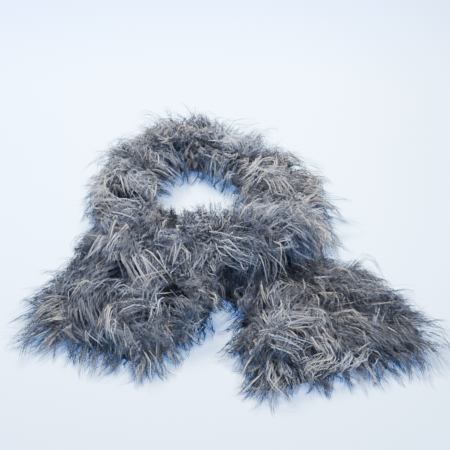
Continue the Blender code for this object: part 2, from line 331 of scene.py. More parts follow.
def makeGroundMaterial():
    look = groundCloth
    material, shader, wire = newMaterial("groundKnit", look["roughness"], look["specular"], look["sheen"])
    spot = wire.out(wire.node("ShaderNodeUVMap", {"uv_map": "cut"}), "UV")
    ribScale = 1.0 / look["ribPitch"] / look["ribWave"]
    ribs = wire.node("ShaderNodeTexWave", {"bands_direction": "X"}, Vector=spot, Scale=ribScale,
                     Distortion=1.5, Detail=2.0)
    ribs = wire.out(ribs, "Fac")
    place = wire.out(wire.node("ShaderNodeTexCoord"), "Object")
    flecks = wire.node("ShaderNodeTexNoise", None, Vector=place, Scale=look["fleckScale"], Detail=3.0)
    flecks = wire.out(flecks, "Fac")
    shade = ribs * look["colourRibs"] + flecks * (1.0 - look["colourRibs"])
    colour = shade.mix((*look["dark"], 1.0), (*look["light"], 1.0))
    wire.tree.links.new(colour.socket, shader.inputs["Base Color"])
    height = ribs * look["bumpRibs"] + flecks * (1.0 - look["bumpRibs"])
    bump = wire.node("ShaderNodeBump", None, Height=height, Strength=look["bumpStrength"],
                     Distance=look["bumpDepth"])
    bump = wire.out(bump, "Normal")
    wire.tree.links.new(bump.socket, shader.inputs["Normal"])
    return material


def wrinkleAt(place):
    size = groundCloth["wrinkleSize"]
    return groundCloth["wrinkle"] * noise.noise(Vector((place[0] / size, place[1] / size, 2.0)))


def makeGroundCloth(stretch, name, material):
    # one stretch of the tube: rings across the path, skinned, with a wall and both rims closed
    look = groundCloth
    length = stretchLength(stretch)
    cells = round(length / look["cell"])
    margin = look["seamGap"] / length
    rings = onPath(stretch, np.linspace(margin, 1.0 - margin, cells + 1))
    topShares = np.sin(np.linspace(0.5 * math.pi, -0.5 * math.pi, look["topCells"] + 1))
    bottomShares = np.sin(np.linspace(-0.5 * math.pi, 0.5 * math.pi, look["bottomCells"] + 1))[1:-1]
    grid = gridOf(stretch)
    shares = np.concatenate([topShares, bottomShares])
    isTop = np.arange(len(shares)) <= look["topCells"]
    half = 0.5 * look["widthShare"] * rings["width"][:, None, None]
    flatPlaces = rings["place"][:, None] + rings["left"][:, None] * shares[None, :, None] * half
    under = grid.read(grid.under, flatPlaces)
    depth = grid.read(grid.top, flatPlaces) - under
    crown = 1.0 - np.abs(shares) ** look["archPower"]
    arch = look["edgeLevel"] + (look["level"] - look["edgeLevel"]) * crown
    sag = look["edgeLevel"] * np.abs(shares) ** look["sagPower"]
    rise = np.where(isTop, arch, sag)[None, :] * depth + np.where(isTop, 0.0, look["bottomGap"])[None, :]
    heights = under + rise
    points = np.concatenate([flatPlaces, heights[..., None]], axis=-1)
    for ring in points:
        for point, top in zip(ring, isTop):
            point[2] += wrinkleAt(point) if top else 0.0
            point[2] = max(point[2], look["bottomGap"])
    around = len(shares)
    faces = []
    for row in range(cells):
        for column in range(around):
            beside = (column + 1) % around
            here, there = row * around, (row + 1) * around
            faces.append((here + column, there + column, there + beside, here + beside))
    mesh = bpy.data.meshes.new(name)
    mesh.from_pydata([tuple(point) for point in points.reshape(-1, 3)], [], faces)
    cloth = bpy.data.objects.new(name, mesh)
    bpy.context.scene.collection.objects.link(cloth)
    cut = mesh.uv_layers.new(name="cut")
    edgeSteps = np.linalg.norm(np.diff(points, axis=1, append=points[:, :1]), axis=-1)
    girth = np.concatenate([np.zeros((cells + 1, 1)), np.cumsum(edgeSteps, axis=1)], axis=1)
    for face in mesh.polygons:
        for loopIndex, vertex in zip(face.loop_indices, face.vertices):
            row, column = divmod(vertex, around)
            wraps = column == 0 and face.vertices[0] % around == around - 1
            cut.data[loopIndex].uv = (girth[row, around if wraps else column], length * row / cells)
    bpy.context.view_layer.objects.active = cloth
    wall = cloth.modifiers.new("wall", "SOLIDIFY")
    wall.thickness = look["wall"]
    wall.offset = -1.0
    bpy.ops.object.modifier_apply(modifier="wall")
    mesh.shade_smooth()
    mesh.materials.append(material)
    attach(cloth, "root")
    return cloth, float(girth[:, -1].mean()), length


# The strands of the pile and of its edges

strandLook = {
    "stepsPerPart": 3,
    "width": 0.00068,
    "widthRange": (0.6, 1.35),
    "thickShare": 0.5,  # a strand's depth, as a share of its width
    "taper": (1.0, 0.98, 0.92, 0.8, 0.62),
    "tilt": 0.5,  # how far strands are turned about their length
    "floorClear": 0.0012,
    "clothShare": 0.5,  # of the pile's depth that lies under the cloth, less the drop
    "clothDrop": 0.007,
    "lowerShare": 0.8,  # of the lower layer's height that the upper pile rests on
    "tuftHold": (0.15, 0.6),
    "tuftPower": 1.3,  # tufts gather towards their tips, and locks sooner
    "lockPower": 0.7,
    "curlRange": (0.5, 1.4),
    "proud": 0.0095,  # how far past the solids' box a strand may reach
    "proudShare": 0.028,
    "reachSpare": 0.012,
    "reachRange": (0.45, 1.25),
    "reachPower": 1.2,
    "patchSize": 0.045,  # of the darker and lighter, warmer and cooler patches
    "patchTone": 0.16,
    "patchWarmth": 0.5,
    "toneRange": (0.04, 0.96),
    "mapSide": 0.004,  # half a strand's width on its map
}

strandBend = {  # at a root on the side, and what is added on the crown, or from root to tip
    "rise": (0.5, 0.5),
    "fall": (0.7, 1.3),
    "heading": (0.3, 0.7),
    "fallPower": 1.5,
}

# For each kind: its share of the strands, how many gather in a tuft and in a lock, how tightly a lock holds
# from its loosest strand to its tightest, and what its length, width, stray and curl are scaled by.

strandKinds = {
    "undercoat": {
        "share": 0.24, "perTuft": 60, "perLock": 8, "hold": (0.0, 0.4), "length": 0.5, "width": 2.0,
        "stray": 1.0, "curl": 1.0, "points": 3, "tone": -0.40,
    },
    "wisps": {
        "share": 0.46, "perTuft": 60, "perLock": 7, "hold": (0.10, 0.75), "length": 1.0, "width": 1.0,
        "stray": 1.0, "curl": 1.0, "points": 6, "tone": 0.0,
    },
    "strings": {
        "share": 0.30, "perTuft": 26, "perLock": 3, "hold": (0.1, 0.85), "length": 1.15, "width": 0.88,
        "stray": 1.0, "curl": 1.15, "points": 7, "tone": 0.42,
    },
}

strandVariety = {  # how far tufts vary, then the locks of a tuft and the strands of a lock
    "tuft": {"stray": 1.0, "curl": 1.0, "size": 0.30, "tone": 0.07, "warmth": 0.25, "turns": (0.4, 0.9)},
    "lock": {"stray": 0.55, "curl": 0.40, "size": 0.25, "tone": 0.06, "warmth": 0.15, "turns": (0.7, 1.4)},
    "strand": {"stray": 0.35, "curl": 0.30, "size": 0.20, "tone": 0.25, "warmth": 0.20, "turns": (0.8, 1.8)},
}


def levelUnder(stretch):
    # the lowest that a strand may lie at a place: on the ground cloth, the pile below or the table
    grid = gridOf(stretch)
    look = strandLook
    cloth = grid.under + look["clothShare"] * (grid.top - grid.under) - look["clothDrop"]
    cloth = np.where(grid.top > 0, cloth, 0.0)
    if stretch not in scarfPath["under"]:
        cloth = np.maximum(cloth, look["lowerShare"] * lowerGrid.top)
    cloth = np.maximum(cloth, look["floorClear"])
    return lambda places: grid.read(cloth, places)


def walk(roots, outward, heading, look, level, steps):
    # strands that leave along outward, turn to their heading and then fall
    here = roots.copy()
    lines = [here.copy()]
    aside = np.stack([-heading[:, 1], heading[:, 0], np.zeros(len(heading))], axis=1)
    rise = look["lift"] * (strandBend["rise"][0] + strandBend["rise"][1] * outward[:, 2])
    fall = look["droop"] * (strandBend["fall"][0] + strandBend["fall"][1] * (1.0 - outward[:, 2]))
    firstShare, laterShare = strandBend["heading"]
    for step in range(steps):
        share = (step + 0.5) / steps
        turn = (look["turn"] * share)[:, None]
        way = heading * np.cos(turn) + aside * np.sin(turn)
        way = outward * (rise * (1.0 - share))[:, None] + way * (firstShare + laterShare * share)
        way[:, 2] -= fall * share ** strandBend["fallPower"]
        isLying = here[:, 2] < level(here) + strandLook["floorClear"]
        way[:, 2] = np.where(isLying, np.maximum(way[:, 2], 0.0), way[:, 2])
        here = here + unit(way) * (look["length"] / steps)[:, None]
        here[:, 2] = np.maximum(here[:, 2], level(here))
        lines.append(here.copy())
    return np.array(lines)


def nearestOf(roots, centres, batch=2000):
    nearest = np.empty(len(roots), int)
    for start in range(0, len(roots), batch):
        gaps = np.linalg.norm(roots[start:start + batch, None] - centres[None], axis=-1)
        nearest[start:start + batch] = gaps.argmin(axis=1)
    return nearest


def passedOn(shape, parents, look, variety):
    # the shape of tufts, locks or strands, varied from what they belong to
    count = len(parents)
    size = variety["size"]
    stray = math.radians(look["stray"]) * variety["stray"]
    curl = math.radians(look["curl"]) * variety["curl"]
    return {
        "swing": shape["swing"][parents] + dice.normal(0.0, stray, count),
        "turn": shape["turn"][parents] + dice.normal(0.0, curl, count),
        "lift": shape["lift"][parents] * dice.uniform(1.0 - 1.4 * size, 1.0 + size, count),
        "droop": shape["droop"][parents] * dice.uniform(1.0 - size, 1.0 + size, count),
        "length": shape["length"][parents] * dice.uniform(1.0 - size, 1.0 + 0.5 * size, count),
        "tone": shape["tone"][parents] + dice.normal(0.0, variety["tone"], count),
        "warmth": shape["warmth"][parents] + dice.normal(0.0, variety["warmth"], count),
    }


def growLocks(roots, outward, flow, shorten, reach, look, kind, level):
    # strands that gather into locks, and locks into tufts: their lines of points, tones and widths
    count = len(roots)
    look = look | {"stray": look["stray"] * kind["stray"], "curl": look["curl"] * kind["curl"]}
    steps = strandLook["stepsPerPart"] * (kind["points"] - 1)
    along = np.linspace(0.0, 1.0, steps + 1)[:, None, None]
    tuftLeads = dice.choice(count, max(count // kind["perTuft"], 1), replace=False)
    lockLeads = dice.choice(count, max(count // kind["perLock"], 1), replace=False)
    tuft = nearestOf(roots, roots[tuftLeads])
    lock = nearestOf(roots, roots[lockLeads])
    whole = {key: np.array([look[key]]) for key in ("lift", "droop", "warmth")}
    whole["swing"] = whole["turn"] = np.zeros(1)
    whole["length"] = np.array([look["length"]]) * kind["length"]
    whole["tone"] = np.array([look["tone"] + look["contrast"] * kind["tone"]])
    tuftShape = passedOn(whole, np.zeros(len(tuftLeads), int), look, strandVariety["tuft"])
    lockShape = passedOn(tuftShape, tuft[lockLeads], look, strandVariety["lock"])
    ownShape = passedOn(lockShape, lock, look, strandVariety["strand"])
    tuftWaves = waves(len(tuftLeads), along, look["wave"], strandVariety["tuft"])
    lockWaves = waves(len(lockLeads), along, 0.5 * look["wave"], strandVariety["lock"])
    lockWaves = tuftWaves[:, tuft[lockLeads]] + lockWaves

    def grow(picked, shape):
        shape["length"] = shape["length"] * shorten[picked]
        heading = turned(flow[picked], shape["swing"])
        return walk(roots[picked], outward[picked], heading, shape, level, steps)

    tuftGuides = grow(tuftLeads, tuftShape) + tuftWaves
    lockGuides = grow(lockLeads, lockShape) + lockWaves
    lines = grow(np.arange(count), ownShape) + lockWaves[:, lock]
    lines += waves(count, along, look["crimp"], strandVariety["strand"])
    tuftHold = dice.uniform(*strandLook["tuftHold"], len(tuftLeads))
    tuftPull = along ** strandLook["tuftPower"]
    lockPull = along ** strandLook["lockPower"]
    lockGuides += (tuftGuides[:, tuft[lockLeads]] - lockGuides) * tuftPull * tuftHold[tuft[lockLeads], None]
    lines += (tuftGuides[:, tuft] - lines) * tuftPull * tuftHold[tuft, None]
    lines += (lockGuides[:, lock] - lines) * lockPull * dice.uniform(*kind["hold"], (count, 1))
    lines[..., 2] = np.maximum(lines[..., 2], level(lines))
    limits = reach * dice.uniform(*strandLook["reachRange"], count) ** strandLook["reachPower"]
    keptPoints = withinReach(lines[::strandLook["stepsPerPart"]].transpose(1, 0, 2), limits)
    return insideBox(keptPoints), strandTones(roots, ownShape), strandWidths(count, kind)


def strandTones(roots, shape):
    # how light each strand is and whether it is warm, in patches of the pile
    patches = np.array([noise.noise_vector(Vector(root / strandLook["patchSize"])) for root in roots])
    lightness = shape["tone"] + strandLook["patchTone"] * patches[:, 0]
    # painted shade and light: these patches darken creases and valleys and lighten shaded edges and hollows,
    # beside the pile's own tone
    for x, y, radius, change in toneAndPaintedShadePatches:
        gaps = np.linalg.norm(roots[:, :2] - np.array([x, y]), axis=1)
        lightness += change * np.exp(-0.5 * (gaps / radius) ** 2)
    lightness = np.clip(lightness, *strandLook["toneRange"])
    isWarm = shape["warmth"] + strandLook["patchWarmth"] * patches[:, 1] > 0.0
    return 0.5 * lightness + 0.5 * isWarm  # cool tones are the map's left half, and warm ones its right


def strandWidths(count, kind):
    return dice.uniform(*strandLook["widthRange"], count) * strandLook["width"] * kind["width"]


def waves(count, along, size, variety):
    # the curls of strands, which grow from their roots
    sideways = unit(dice.normal(0.0, 1.0, (2, count, 3)))
    turns = dice.uniform(*variety["turns"], (2, count, 1))
    phase = dice.uniform(0.0, 2.0 * math.pi, (2, count, 1))
    size = size * dice.uniform(*strandLook["curlRange"], (count, 1)) * np.minimum(2.0 * along, 1.0)
    swings = [np.sin(2.0 * math.pi * turns[i] * along + phase[i]) - np.sin(phase[i]) for i in (0, 1)]
    return size * (sideways[0] * swings[0] + sideways[1] * swings[1])


def turned(headings, angles):
    # headings turned about the vertical
    x = headings[:, 0] * np.cos(angles) - headings[:, 1] * np.sin(angles)
    y = headings[:, 0] * np.sin(angles) + headings[:, 1] * np.cos(angles)
    return np.stack([x, y, headings[:, 2]], axis=1)


def withinReach(lines, reach):
    # strands drawn back towards their roots where they would stand too far past the solids
    farthest = upperGrid.read(outsideGrid, lines).max(axis=1)
    spare = strandLook["reachSpare"]
    share = np.minimum((reach + spare) / (farthest + spare), 1.0)
    return lines[:, :1] + (lines - lines[:, :1]) * share[:, None, None]


def insideBox(lines):
    # strands drawn back towards their roots where they would pass the space that pile may take
    low, high = (np.array(corner) for corner in solidsBox)
    spare = strandLook["proud"] + strandLook["proudShare"] * (high - low)
    roots = lines[:, :1]
    reach = lines - roots
    share = np.ones(reach.shape[:1])
    for axis in range(3):
        ahead = reach[..., axis]
        above = high[axis] + spare[axis] - roots[..., axis]
        below = roots[..., axis] - low[axis] + spare[axis]
        room = np.where(ahead > 0, above, below)
        if axis == 2:
            room = np.where(ahead > 0, room, 1.0)
        share = np.minimum(share, (room / np.maximum(np.abs(ahead), 1e-6)).min(axis=1))
    return roots + reach * share[:, None, None]


def strandShapes(lines, tones, widths):
    # closed three-sided strands: their points, their faces' corners and sizes, and their place on the map
    count, rings = lines.shape[0], lines.shape[1]
    bodyRings = rings - 1
    ahead = unit(np.gradient(lines, axis=1))[:, :bodyRings]
    facing = unit(np.array([0.0, 0.0, 1.0]) + dice.normal(0.0, strandLook["tilt"], (count, 3)))[:, None]
    aside = unit(np.cross(ahead, facing))
    above = np.cross(ahead, aside)
    taper = np.interp(np.arange(bodyRings), np.linspace(0, bodyRings - 1, 5), strandLook["taper"])
    half = (0.5 * widths[:, None] * taper)[..., None]
    body = lines[:, :bodyRings]
    sections = [body - aside * half, body + aside * half, body + above * half * 2 * strandLook["thickShare"]]
    points = np.concatenate([np.stack(sections, axis=2).reshape(count, -1, 3), lines[:, -1:]], axis=1)
    tip = points.shape[1] - 1
    faces = []
    for ring in range(bodyRings - 1):
        for corner in range(3):
            beside = (corner + 1) % 3
            here, there = 3 * ring, 3 * (ring + 1)
            faces.append((here + corner, here + beside, there + beside, there + corner))
    last = 3 * (bodyRings - 1)
    faces += [(last + corner, last + (corner + 1) % 3, tip) for corner in range(3)]
    faces.append((0, 2, 1))
    corners = np.array([vertex for face in faces for vertex in face])
    loops = (corners[None] + np.arange(count)[:, None] * (tip + 1)).ravel()
    sizes = np.tile([len(face) for face in faces], count)
    # across the map is a strand's tone, and up it is the way along the strand
    sideShift = np.array([-strandLook["mapSide"], strandLook["mapSide"], 0.0])
    u = np.where(corners == tip, 0.0, sideShift[corners % 3])
    v = np.where(corners == tip, 1.0, (corners // 3) / bodyRings)
    v[-3:] += np.array([0.0, 0.01, 0.0])
    uv = np.stack([tones[:, None] + u[None], np.tile(0.01 + 0.98 * v, (count, 1))], axis=-1)
    return points.reshape(-1, 3), loops, sizes, uv.reshape(-1, 2)


def makeStrands(name, batches, material):
    # one joined mesh of all the strands of a piece
    points, loops, sizes, places = [], [], [], []
    for lines, tones, widths in batches:
        shapePoints, shapeLoops, shapeSizes, shapePlaces = strandShapes(lines, tones, widths)
        loops.append(shapeLoops + sum(len(some) for some in points))
        points.append(shapePoints)
        sizes.append(shapeSizes)
        places.append(shapePlaces)
    points, loops, sizes, places = (np.concatenate(some) for some in (points, loops, sizes, places))
    mesh = bpy.data.meshes.new(name)
    mesh.vertices.add(len(points))
    mesh.vertices.foreach_set("co", points.astype(np.float32).ravel())
    mesh.loops.add(len(loops))
    mesh.loops.foreach_set("vertex_index", loops.astype(np.int32))
    mesh.polygons.add(len(sizes))
    mesh.polygons.foreach_set("loop_start", (np.cumsum(sizes) - sizes).astype(np.int32))
    strandMap = mesh.uv_layers.new(name="OFBake")
    strandMap.data.foreach_set("uv", places.astype(np.float32).ravel())
    mesh.update(calc_edges=True)
    mesh.validate()
    mesh.shade_smooth()
    mesh.materials.append(material)
    fur = bpy.data.objects.new(name, mesh)
    bpy.context.scene.collection.objects.link(fur)
    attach(fur, "root")
    return fur


# The pile on each stretch. comb is how far it lies along the path, spread how far it parts to both sides,
# and lean is its pull across the table. reach is how far it passes the solid on the right and the left.

pileLook = {
    "tail_left": {
        "strands": 5900, "length": 0.056, "comb": -0.15, "spread": 0.45, "lean": (-0.08, -0.85), "lift": 0.85,
        "droop": 0.75, "curl": 44, "stray": 21, "wave": 0.0066, "crimp": 0.0015, "reach": (0.003, 0.018),
        "endReach": 0.003, "drift": 0.45, "neckLength": 1.0, "tone": 0.20, "contrast": 1.35, "warmth": -0.10,
    },
    "front": {
        "strands": 4900, "length": 0.054, "comb": -0.10, "spread": 0.9, "lean": (0.05, -0.45), "lift": 0.9,
        "droop": 0.65, "curl": 60, "stray": 30, "wave": 0.0078, "crimp": 0.0020, "reach": (0.003, 0.008),
        "endReach": 0.0, "drift": 0.50, "neckLength": 0.36, "tone": 0.19, "contrast": 1.05, "warmth": -0.25,
    },
    "side_right": {
        "strands": 3900, "length": 0.051, "comb": -0.20, "spread": 0.9, "lean": (0.30, -0.30), "lift": 0.95,
        "droop": 0.55, "curl": 62, "stray": 32, "wave": 0.0074, "crimp": 0.0019, "reach": (0.014, 0.010),
        "endReach": 0.0, "drift": 0.50, "neckLength": 0.6, "tone": 0.28, "contrast": 1.25, "warmth": 0.15,
    },
    "back": {
        "strands": 3900, "length": 0.051, "comb": 0.0, "spread": 0.8, "lean": (0.05, 0.20), "lift": 0.95,
        "droop": 0.50, "curl": 75, "stray": 45, "wave": 0.0072, "crimp": 0.0020, "reach": (0.006, 0.006),
        "endReach": 0.0, "drift": 0.80, "neckLength": 0.6, "tone": 0.30, "contrast": 0.90, "warmth": -0.20,
    },
    "side_left": {
        "strands": 3900, "length": 0.051, "comb": 0.10, "spread": 0.9, "lean": (-0.30, -0.05), "lift": 0.95,
        "droop": 0.55, "curl": 60, "stray": 34, "wave": 0.0070, "crimp": 0.0018, "reach": (0.014, 0.008),
        "endReach": 0.0, "drift": 0.50, "neckLength": 0.6, "tone": 0.31, "contrast": 1.05, "warmth": 0.00,
    },
    "tail_right": {
        "strands": 7400, "length": 0.057, "comb": 0.30, "spread": 0.55, "lean": (0.10, -0.65), "lift": 0.85,
        "droop": 0.75, "curl": 38, "stray": 19, "wave": 0.0066, "crimp": 0.0013, "reach": (0.006, 0.010),
        "endReach": 0.003, "drift": 0.42, "neckLength": 1.0, "tone": 0.20, "contrast": 1.40, "warmth": 0.30,
    },
}

pileRoots = {
    "crownSink": 0.46,  # of the depth of the pile
    "edgeSink": 0.010,
    "lowest": 0.003,
    "seamDepth": 0.002,  # faces this near a seam, and square to it, carry no pile
    "seamFacing": 0.7,
    "undersideFacing": -0.2,
    "underEdge": 0.020,  # how far under the upper layer's near and far edges the lower pile goes on
    "coverHeight": 0.010,
    "partingPower": 1.3,
    "neckStart": 0.1,  # where the pile shortens towards the opening, from the path to its edge
    "neckRange": 0.7,
    "endRange": 0.05,
    "leastReach": 0.001,
    "driftSize": 0.028,
}

groom = {
    "radius": 0.027,
    "base": 0.26,  # how much of a stretch's own comb is left beside a guide
    "lead": 0.014,  # how far before a guide its strands are rooted
    "guides": (  # x, y and heading in degrees of the pile where it is combed its own way
        (-0.210, -0.120, 250), (-0.176, -0.107, 265), (-0.148, -0.082, 260), (-0.118, -0.112, 250),
        (-0.087, -0.128, 265), (-0.172, -0.177, 265), (-0.143, -0.158, 265), (-0.113, -0.192, 260),
        (-0.087, -0.177, 270), (-0.055, -0.148, 310), (-0.031, -0.133, 295), (-0.058, -0.195, 305),
        (-0.155, -0.041, 255), (-0.123, -0.023, 245), (-0.089, -0.041, 225), (-0.061, -0.072, 295),
        (-0.034, -0.082, 295), (-0.062, -0.011, 120), (-0.005, -0.009, 95), (0.026, -0.017, 20),
        (0.059, -0.036, 30), (0.088, -0.024, 305), (0.025, -0.082, 230), (-0.005, -0.117, 285),
        (-0.095, 0.060, 5), (-0.133, 0.097, 250), (-0.161, 0.026, 215), (-0.092, 0.193, 140),
        (-0.050, 0.152, 190), (0.003, 0.152, 10), (0.046, 0.130, 335), (0.085, 0.066, 315),
        (0.105, 0.016, 325), (0.024, -0.153, 260), (0.055, -0.142, 275), (0.083, -0.128, 300),
        (0.113, -0.128, 305), (0.142, -0.130, 325), (0.168, -0.148, 320), (0.026, -0.200, 265),
        (0.053, -0.200, 275), (0.080, -0.200, 285), (0.108, -0.192, 280), (0.136, -0.177, 290),
        (0.134, -0.226, 275), (0.190, -0.180, 315), (0.162, -0.208, 285), (0.029, -0.245, 275),
        (-0.128, 0.150, 190), (0.077, -0.245, 280),
    ),
}

toneAndPaintedShadePatches = (  # x, y and radius of the places whose strands are lighter or darker, and by how much: painted shade in the creases and valleys between the layers, painted light where edges and hollows fall in shade, and partly the pile's own uneven tone
    (-0.022, -0.112, 0.020, -0.20), (0.010, -0.085, 0.022, -0.25), (0.012, -0.122, 0.020, -0.25),
    (-0.168, -0.084, 0.024, -0.44), (-0.108, -0.118, 0.024, -0.42), (0.130, -0.102, 0.028, -0.46),
    (0.122, -0.160, 0.022, -0.12), (-0.133, 0.110, 0.024, -0.10), (0.092, -0.181, 0.022, -0.12),
    (0.170, -0.140, 0.024, -0.18), (0.078, -0.082, 0.020, -0.24), (-0.152, -0.062, 0.020, -0.12),
    (0.075, -0.150, 0.020, -0.26), (0.097, -0.030, 0.022, 0.10), (-0.180, -0.050, 0.022, -0.16),
    (0.016, -0.225, 0.020, -0.22), (0.000, -0.200, 0.018, -0.16), (-0.147, -0.026, 0.020, -0.16),
    (0.008, 0.100, 0.022, -0.34), (-0.036, 0.104, 0.022, -0.30), (0.045, 0.090, 0.020, -0.26),
    (-0.092, -0.062, 0.020, -0.20), (-0.030, -0.082, 0.018, -0.14),
    (-0.176, -0.140, 0.022, 0.26), (-0.085, 0.027, 0.022, 0.10), (0.107, 0.034, 0.022, 0.08),
    (-0.042, -0.140, 0.018, 0.30), (-0.050, -0.176, 0.020, 0.24), (0.178, -0.186, 0.020, 0.14),
    (-0.148, -0.180, 0.020, 0.12), (-0.091, -0.185, 0.022, 0.22), (-0.069, -0.105, 0.018, 0.22),
    (0.052, -0.226, 0.024, 0.32), (0.128, -0.206, 0.024, 0.34), (0.002, 0.150, 0.026, 0.34),
    (-0.070, 0.010, 0.020, 0.26), (-0.005, 0.030, 0.020, 0.24), (-0.114, -0.152, 0.020, -0.16),
)


def rootsOnStretch(stretch, count):
    # places spread evenly over the crown and sides of a stretch's solid, with the way out of each
    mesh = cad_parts[stretch].data
    corners = np.array([[mesh.vertices[index].co for index in face.vertices] for face in mesh.polygons])
    cross = np.cross(corners[:, 1] - corners[:, 0], corners[:, 2] - corners[:, 0])
    area = np.linalg.norm(cross, axis=1)
    normals = cross / np.maximum(area, 1e-12)[:, None]
    line = onPath(stretch, [0.0, 1.0])
    centres = corners.mean(axis=1)
    atSeam = np.zeros(len(area), bool)
    for end in (0, 1):
        alongSeam = (centres[:, :2] - line["place"][end]) @ line["along"][end]
        acrossSeam = np.abs(normals[:, :2] @ line["along"][end])
        atSeam |= (np.abs(alongSeam) < pileRoots["seamDepth"]) & (acrossSeam > pileRoots["seamFacing"])
    area[(normals[:, 2] < pileRoots["undersideFacing"]) | atSeam] = 0.0
    picked = dice.choice(len(area), count, p=area / area.sum())
    one, other = dice.random((2, count))
    folded = one + other > 1.0
    one, other = np.where(folded, 1.0 - one, one), np.where(folded, 1.0 - other, other)
    a, b, c = corners[picked, 0], corners[picked, 1], corners[picked, 2]
    places = a + (b - a) * one[:, None] + (c - a) * other[:, None]
    return places, normals[picked]


def groomed(places, flow):
    # flow turned to the guides that lie near
    rows = np.array(groom["guides"])
    angles = np.radians(rows[:, 2])
    ways = np.stack([np.cos(angles), np.sin(angles)], axis=1)
    starts = rows[:, :2] - groom["lead"] * ways
    gaps = np.linalg.norm(places[:, None, :2] - starts[None], axis=-1)
    weights = np.exp(-0.5 * (gaps / groom["radius"]) ** 2)
    return unit(groom["base"] * unit(flow) + weights @ ways)


def growKinds(roots, outward, flow, shorten, reach, look, level):
    # each kind of strand in turn, from its share of the roots
    batches, first = [], 0
    for kind in strandKinds.values():
        last = first + int(len(roots) * kind["share"])
        picked = slice(first, last)
        some = (values[picked] for values in (roots, outward, flow, shorten, reach))
        batches.append(growLocks(*some, look, kind, level))
        first = last
    return batches


def makePile(stretch, name, material):
    look = pileLook[stretch]
    grid = gridOf(stretch)
    surface, outward = rootsOnStretch(stretch, look["strands"])
    if stretch in scarfPath["under"]:
        edge = pileRoots["underEdge"]
        beside = [surface + np.array([0.0, step, 0.0]) for step in (-edge, 0.0, edge)]
        cover = np.min([upperGrid.read(upperGrid.top, places) for places in beside], axis=0)
        shown = cover < pileRoots["coverHeight"]
        surface, outward = surface[shown], outward[shown]
    first, last = pathSpan(stretch)
    nearest = nearestOf(surface[:, :2], pathLine["place"][first:last + 1]) + first
    left, along = pathLine["left"][nearest], pathLine["along"][nearest]
    offset = ((surface[:, :2] - pathLine["place"][nearest]) * left).sum(axis=1)
    across = offset / (0.5 * pathLine["width"][nearest])
    depth = grid.read(grid.top - grid.under, surface)
    upShare = np.clip(outward[:, 2], 0.0, 1.0)[:, None] ** 2
    sink = pileRoots["edgeSink"] * (1.0 - upShare) + pileRoots["crownSink"] * depth[:, None] * upShare
    roots = surface - outward * sink
    roots[:, 2] = np.maximum(roots[:, 2], pileRoots["lowest"])
    parting = look["spread"] * np.sign(across) * np.abs(across) ** pileRoots["partingPower"]
    flow = left * parting[:, None] + along * look["comb"] + np.array(look["lean"])
    drift = np.array([noise.noise_vector(Vector(place / pileRoots["driftSize"])) for place in surface])
    flow = groomed(surface, flow)
    flow = np.concatenate([flow + look["drift"] * drift[:, :2], np.zeros((len(flow), 1))], axis=1)
    neckSide = np.clip((across - pileRoots["neckStart"]) / pileRoots["neckRange"], 0.0, 1.0)
    shorten = 1.0 - (1.0 - look["neckLength"]) * neckSide
    fromStart = pathLine["distance"][nearest]
    fromEnd = np.minimum(fromStart, pathLine["distance"][-1] - fromStart)
    atEnd = np.clip(1.0 - fromEnd / pileRoots["endRange"], 0.0, 1.0)
    reach = between(look["reach"], np.clip(0.5 + 0.5 * across, 0.0, 1.0)) + look["endReach"] * atEnd
    reach = np.maximum(reach, pileRoots["leastReach"])
    batches = growKinds(roots, outward, unit(flow), shorten, reach, look, levelUnder(stretch))
    pile = makeStrands(name, batches, material)
    return pile


# The wisps along each edge. side is 1 on the left of the path, -1 on its right and 0 at a free end. run is
# the part of the stretch, and the wisps' reach and sweep go from one value to the other along it. rise is how
# steeply they leave, and tip is how high their tips lie, as a share of the height of their roots.

